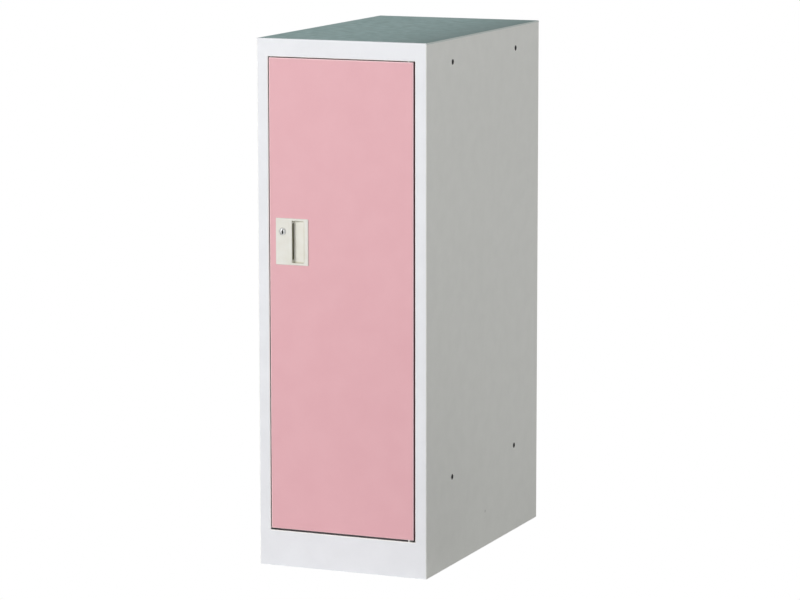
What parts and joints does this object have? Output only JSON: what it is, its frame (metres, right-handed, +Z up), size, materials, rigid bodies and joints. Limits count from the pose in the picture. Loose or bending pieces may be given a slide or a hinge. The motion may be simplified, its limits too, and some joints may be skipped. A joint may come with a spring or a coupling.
{
  "type": "mini locker",
  "caption": "Narrow steel mini locker with a pink inset door, recessed cream handle with a cam lock, inner shelf, hanger rail and levelling feet.",
  "frame": {"origin": "bottom centre of the whole box, on the ground", "axes": "+Z up, front with the door towards -Y, hinge side towards +X"},
  "size_m": [0.3, 0.517, 0.88],
  "materials": {
    "cabinet_paint": "satin white powder coat with a fine orange peel",
    "top_paint": null,
    "door_paint": "satin pink powder coat with a fine orange peel",
    "handle_plastic": "moulded cream plastic, fine matt grain",
    "lock_nickel": "nickel plated, turned rings",
    "zinc": "bright zinc plated steel",
    "steel": "turned steel",
    "rail_chrome": "chromed tube",
    "nylon": "natural white nylon",
    "bumper_rubber": "soft black rubber",
    "magnet_ferrite": "dark sintered ferrite"
  },
  "bodies": {
    "cabinet": {"left_side": "cabinet_paint", "right_side": "cabinet_paint", "top_panel": "top_paint", "header_rail": "cabinet_paint", "back_panel": "cabinet_paint", "left_stile": "cabinet_paint", "right_stile": "cabinet_paint", "left_return": "cabinet_paint", "right_return": "cabinet_paint", "left_stop": "cabinet_paint", "right_stop": "cabinet_paint", "upper_stop": "cabinet_paint", "lower_stop": "cabinet_paint", "floor_panel": "cabinet_paint", "kick_plate": "cabinet_paint", "left_base_rail": "zinc", "right_base_rail": "zinc", "leveller_nuts": "zinc", "shelf": "cabinet_paint", "left_shelf_angle": "cabinet_paint", "right_shelf_angle": "cabinet_paint", "hanger_rail": "rail_chrome", "left_rail_socket": "zinc", "right_rail_socket": "zinc", "upper_hinge_plate": "zinc", "lower_hinge_plate": "zinc", "upper_hinge_pin": "steel", "lower_hinge_pin": "steel", "lock_keeper": "zinc", "catch_plate": "zinc", "catch_magnet": "magnet_ferrite", "catch_rivets": "steel", "door_bumpers": "bumper_rubber"},
    "door": {"door_skin": "door_paint", "door_left_wall": "door_paint", "door_right_wall": "door_paint", "door_top_wall": "door_paint", "door_bottom_wall": "door_paint", "door_left_fold": "door_paint", "door_right_fold": "door_paint", "door_top_fold": "door_paint", "door_bottom_fold": "door_paint", "door_stiffener": "door_paint", "stiffener_webs": "door_paint", "stiffener_feet": "door_paint", "upper_door_plate": "zinc", "lower_door_plate": "zinc", "upper_hinge_bush": "nylon", "lower_hinge_bush": "nylon", "handle_plate": "handle_plastic", "handle_housing": "handle_plastic", "lock_barrel": "lock_nickel", "lock_nut": "zinc"},
    "lock": {"lock_plug": "lock_nickel", "lock_cam": "zinc", "cam_screw": "zinc"},
    "leveller_front_left": {"front_left_leveller": "steel"},
    "leveller_front_right": {"front_right_leveller": "steel"},
    "leveller_rear_left": {"rear_left_leveller": "steel"},
    "leveller_rear_right": {"rear_right_leveller": "steel"}
  },
  "joints": [
    {"name": "door_hinge", "type": "hinge", "parent": "cabinet", "child": "door", "pos_m": [0.121, -0.2505, 0.456], "axis": [0, 0, 1], "range_deg": [0, 110]},
    {"name": "lock_turn", "type": "hinge", "parent": "door", "child": "lock", "pos_m": [-0.1051, -0.245, 0.5631], "axis": [0, 1, 0], "range_deg": [0, 90]},
    {"name": "front_left_level", "type": "slide", "parent": "cabinet", "child": "leveller_front_left", "axis": [0, 0, -1], "range_m": [0, 0.01]},
    {"name": "front_right_level", "type": "slide", "parent": "cabinet", "child": "leveller_front_right", "axis": [0, 0, -1], "range_m": [0, 0.01]},
    {"name": "rear_left_level", "type": "slide", "parent": "cabinet", "child": "leveller_rear_left", "axis": [0, 0, -1], "range_m": [0, 0.01]},
    {"name": "rear_right_level", "type": "slide", "parent": "cabinet", "child": "leveller_rear_right", "axis": [0, 0, -1], "range_m": [0, 0.01]}
  ]
}
